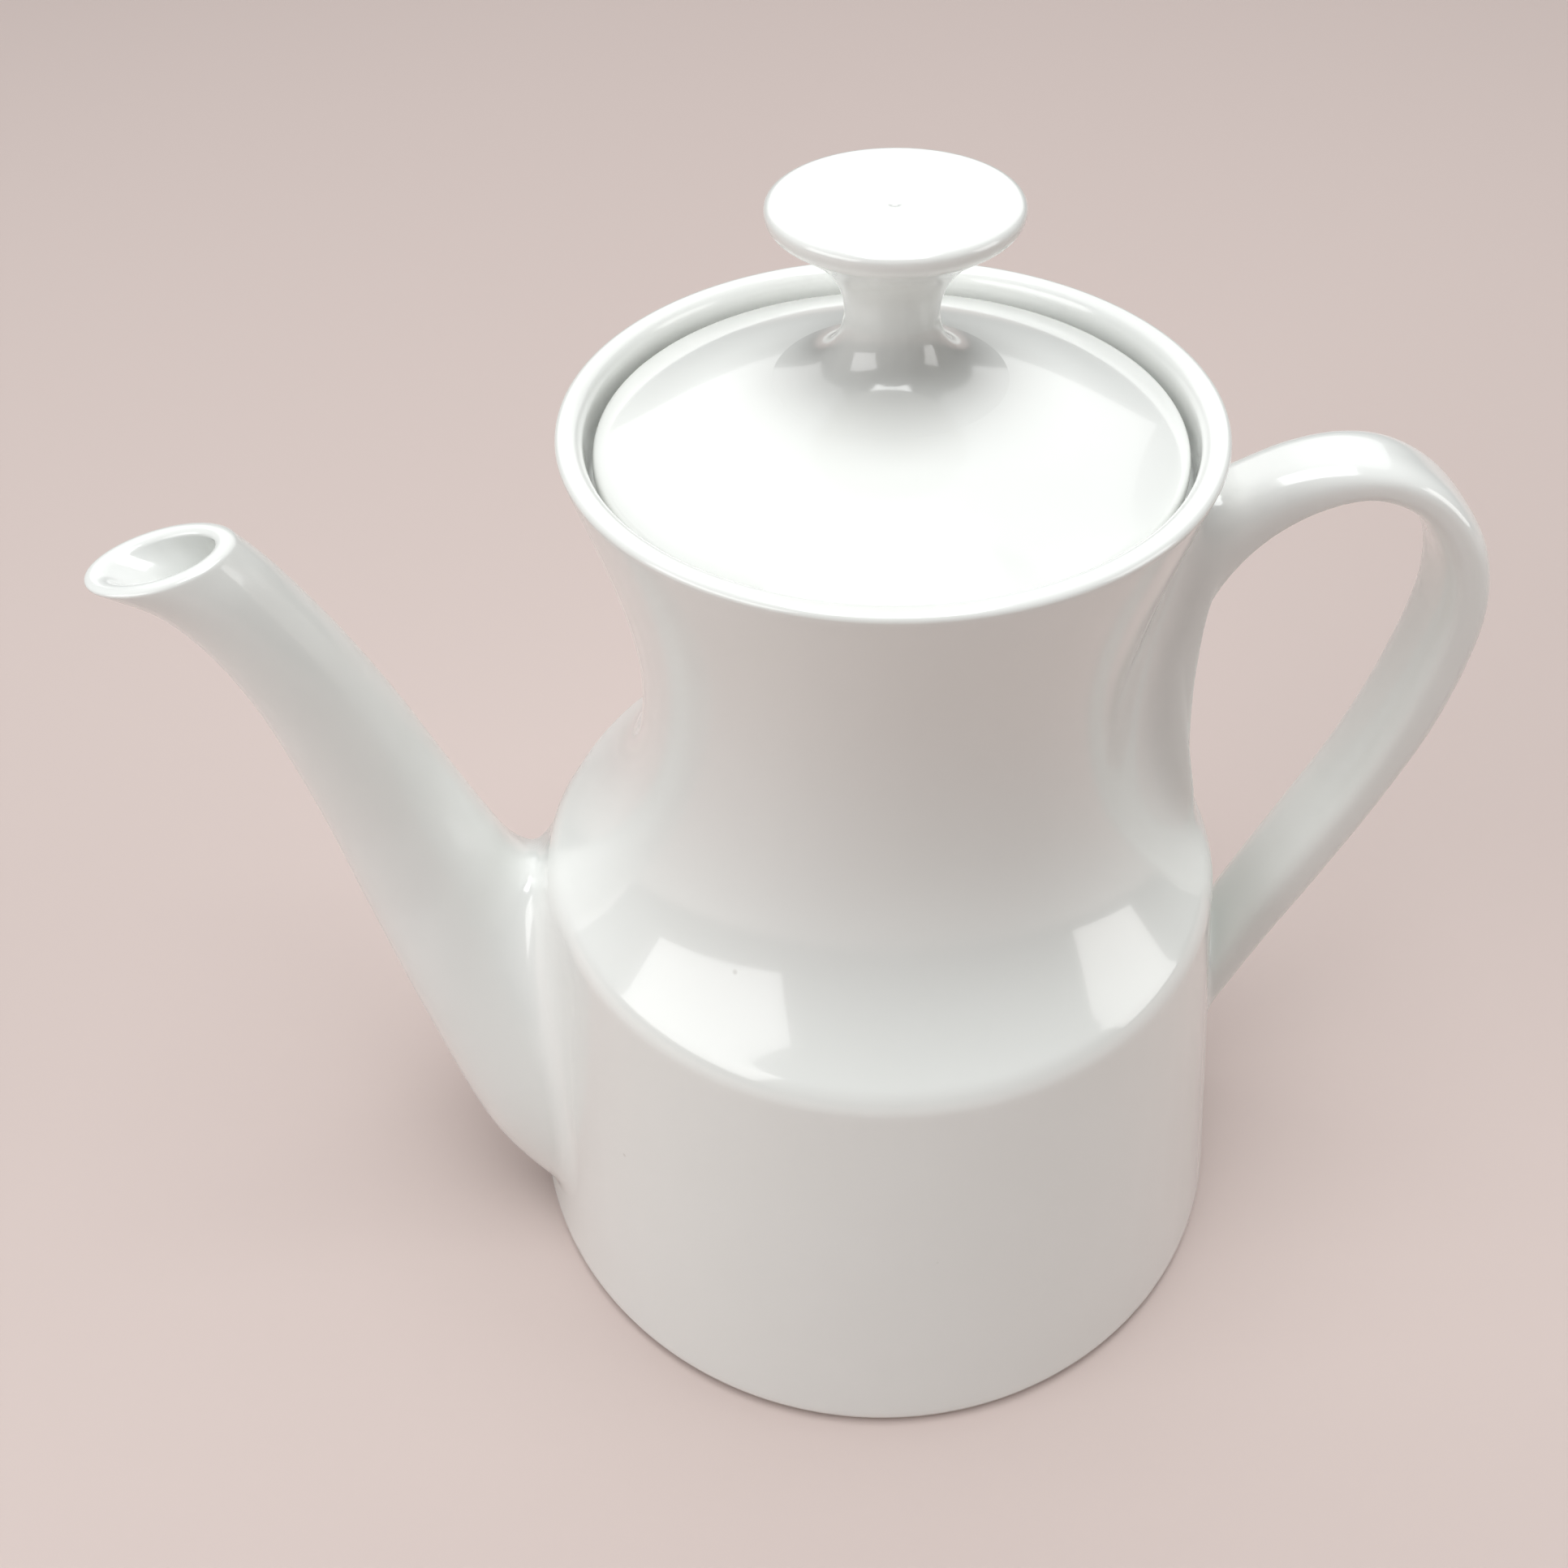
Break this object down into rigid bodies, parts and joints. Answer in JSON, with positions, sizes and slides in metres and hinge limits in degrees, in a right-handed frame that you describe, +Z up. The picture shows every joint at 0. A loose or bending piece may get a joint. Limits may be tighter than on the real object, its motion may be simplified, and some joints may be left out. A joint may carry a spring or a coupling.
{
  "type": "coffee pot",
  "caption": "Tall white porcelain coffee pot with a waisted neck, an upswept spout, a looped strap handle and a lift-off lid with a flat round knob.",
  "frame": {"origin": "on the surface the pot stands on, under the middle of the whole object's bounding box; the turning axis of the pot and lid is vertical at x = 0.014 m", "axes": "+Z up, -X towards the spout, +X towards the handle, mirror plane y = 0"},
  "size_m": [0.2126, 0.14, 0.2006],
  "materials": {
    "pot_glaze": "white porcelain under a glossy clear glaze, bare ground foot ring",
    "lid_glaze": "white porcelain under a glossy clear glaze"
  },
  "bodies": {
    "pot": {"pot_body": "pot_glaze", "pot_spout": "pot_glaze", "pot_handle": "pot_glaze"},
    "lid": {"lid_plate": "lid_glaze", "lid_flange": "lid_glaze", "lid_knob": "lid_glaze"}
  },
  "joints": [
    {"name": "lid_lift", "type": "slide", "parent": "pot", "child": "lid", "axis": [0, 0, 1], "range_m": [0, 0.12]}
  ]
}
